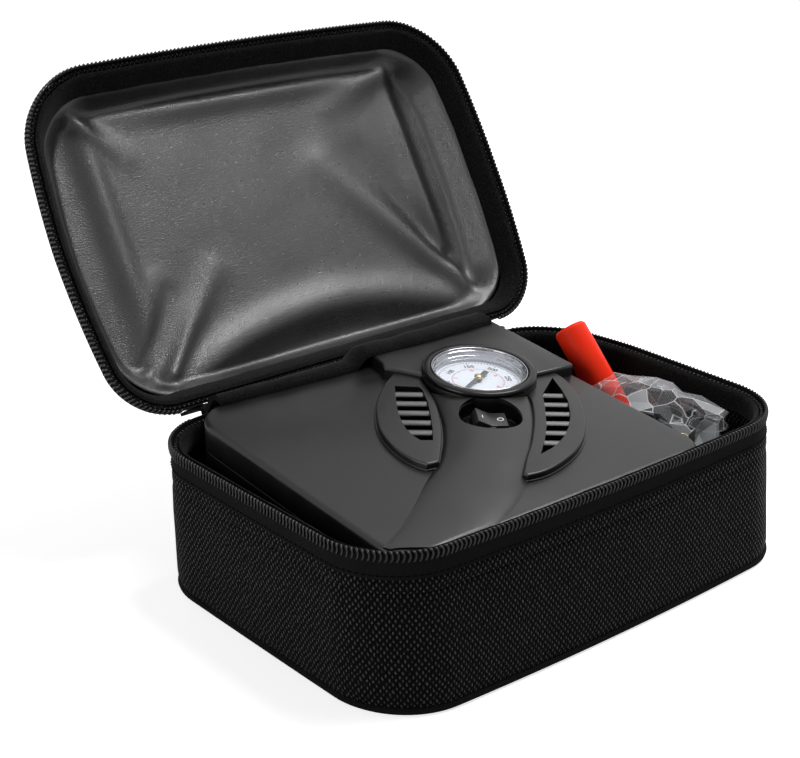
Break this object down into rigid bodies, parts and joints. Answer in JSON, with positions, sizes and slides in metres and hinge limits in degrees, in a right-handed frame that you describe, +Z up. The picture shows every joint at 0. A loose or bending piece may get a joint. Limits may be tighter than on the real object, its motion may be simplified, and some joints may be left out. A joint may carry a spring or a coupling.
{
  "type": "tyre inflator in zip case",
  "caption": "Small electric tyre inflator with a pressure gauge and rocker switch, in an open soft zip case with a hinged lid and a side bay of adaptors.",
  "frame": {"origin": "on the table under the middle of the case's floor, at the resting face's centre line", "axes": "+Z up, +X along the long side with the adaptor bay at +X, -Y out of the front wall, the lid hinges at +Y"},
  "size_m": [0.29, 0.3265, 0.2418],
  "materials": {
    "case_cloth": "coarse woven nylon with a soft sheen",
    "webbing": "fine woven tape",
    "board": "plain board",
    "velour": "short pile velour",
    "zip_nylon": "moulded nylon coil",
    "zip_metal": "black lacquer",
    "lining_leather": "grained imitation leather",
    "housing_plastic": "fine moulded texture",
    "bezel_plastic": "satin moulded",
    "switch_plastic": "satin moulded",
    "bright_ring": "bright plated",
    "lens_glass": "clear",
    "dial_print": "printed card",
    "needle_paint": "satin paint",
    "steel": "plain steel",
    "brass": "turned brass",
    "cast_alloy": "die cast",
    "gear_plastic": "moulded acetal",
    "rubber": "matt",
    "wire_cover": "wire covering",
    "red_plastic": "satin moulded",
    "clear_film": "thin clear film",
    "adaptor_plastic": "moulded"
  },
  "bodies": {
    "case": {"base_shell": "case_cloth", "base_floor_board": "board", "base_inner_band": "velour", "base_bottom_piping": "webbing", "base_zip_tape": "webbing", "base_zip_teeth": "zip_nylon", "hinge_band": "webbing", "zip_slider": "zip_metal", "zip_stops": "zip_metal", "upper_cover": "housing_plastic", "lower_housing": "housing_plastic", "left_vent_grille": "housing_plastic", "right_vent_grille": "housing_plastic", "gauge_bezel": "bezel_plastic", "gauge_chrome_ring": "bright_ring", "gauge_lens": "lens_glass", "gauge_dial": "dial_print", "gauge_case": "steel", "gauge_stem": "brass", "bourdon_tube": "brass", "gauge_movement": "brass", "pressure_tube": "rubber", "switch_frame": "bezel_plastic", "switch_terminals": "brass", "motor_can": "steel", "motor_end_cap": "bezel_plastic", "motor_bearings": "brass", "crankcase_bracket": "cast_alloy", "gear_axle": "steel", "cylinder": "cast_alloy", "cylinder_head": "cast_alloy", "head_screws": "steel", "outlet_nipple": "brass", "cord_gland": "rubber", "housing_screws": "steel", "rubber_feet": "rubber", "motor_wires": "wire_cover", "red_tube": "red_plastic", "polybag": "clear_film", "ball_needle": "steel", "adaptor_cones": "adaptor_plastic", "brass_adaptor": "brass"},
    "lid": {"lid_shell": "case_cloth", "lid_board": "board", "lid_lining": "lining_leather", "lid_inner_band": "velour", "lid_hinge_band": "webbing", "lid_zip_tape": "webbing", "lid_zip_teeth": "zip_nylon"},
    "pull_tab": {"pull_tab": "zip_metal"},
    "rocker": {"rocker": "switch_plastic"},
    "needle": {"gauge_needle": "needle_paint"},
    "drive_gear": {"drive_gear": "gear_plastic"},
    "motor_shaft": {"motor_shaft": "steel", "pinion": "brass"},
    "con_rod": {"con_rod": "cast_alloy"},
    "piston": {"piston": "cast_alloy", "piston_seal": "rubber", "gudgeon_pin": "steel"}
  },
  "joints": [
    {"name": "lid_hinge", "type": "hinge", "parent": "case", "child": "lid", "pos_m": [0, 0.0942, 0.0773], "axis": [1, 0, 0], "range_deg": [-58, 122]},
    {"name": "pull_tab_hinge", "type": "hinge", "parent": "case", "child": "pull_tab", "pos_m": [0.1025, 0.0953, 0.072], "axis": [1, 0, 0], "range_deg": [0, 40]},
    {"name": "rocker_tilt", "type": "hinge", "parent": "case", "child": "rocker", "pos_m": [-0.0009, -0.01188, 0.07825], "axis": [0.5592, 0.8245, 0.0867], "range_deg": [-20, 0]},
    {"name": "needle_sweep", "type": "hinge", "parent": "case", "child": "needle", "pos_m": [0.024, 0.02355, 0.08549], "axis": [0, -0.1045, 0.9945], "range_deg": [-270, 0], "stiffness_Nm_per_rad": 0.0002},
    {"name": "gear_spin", "type": "hinge", "parent": "case", "child": "drive_gear", "pos_m": [-0.0425, -0.033, 0.038], "axis": [1, 0, 0], "continuous": true},
    {"name": "motor_spin", "type": "hinge", "parent": "case", "child": "motor_shaft", "pos_m": [-0.0425, -0.06, 0.038], "axis": [1, 0, 0], "continuous": true},
    {"name": "piston_stroke", "type": "slide", "parent": "case", "child": "piston", "axis": [0, 1, 0], "range_m": [-0.018, 0]},
    {"name": "rod_swing", "type": "hinge", "parent": "piston", "child": "con_rod", "pos_m": [-0.0287, 0.018, 0.038], "axis": [1, 0, 0], "range_deg": [-12.4, 12.4]}
  ],
  "couplings": [
    {"joint": "motor_spin", "follows": "gear_spin", "ratio": -4.4}
  ]
}
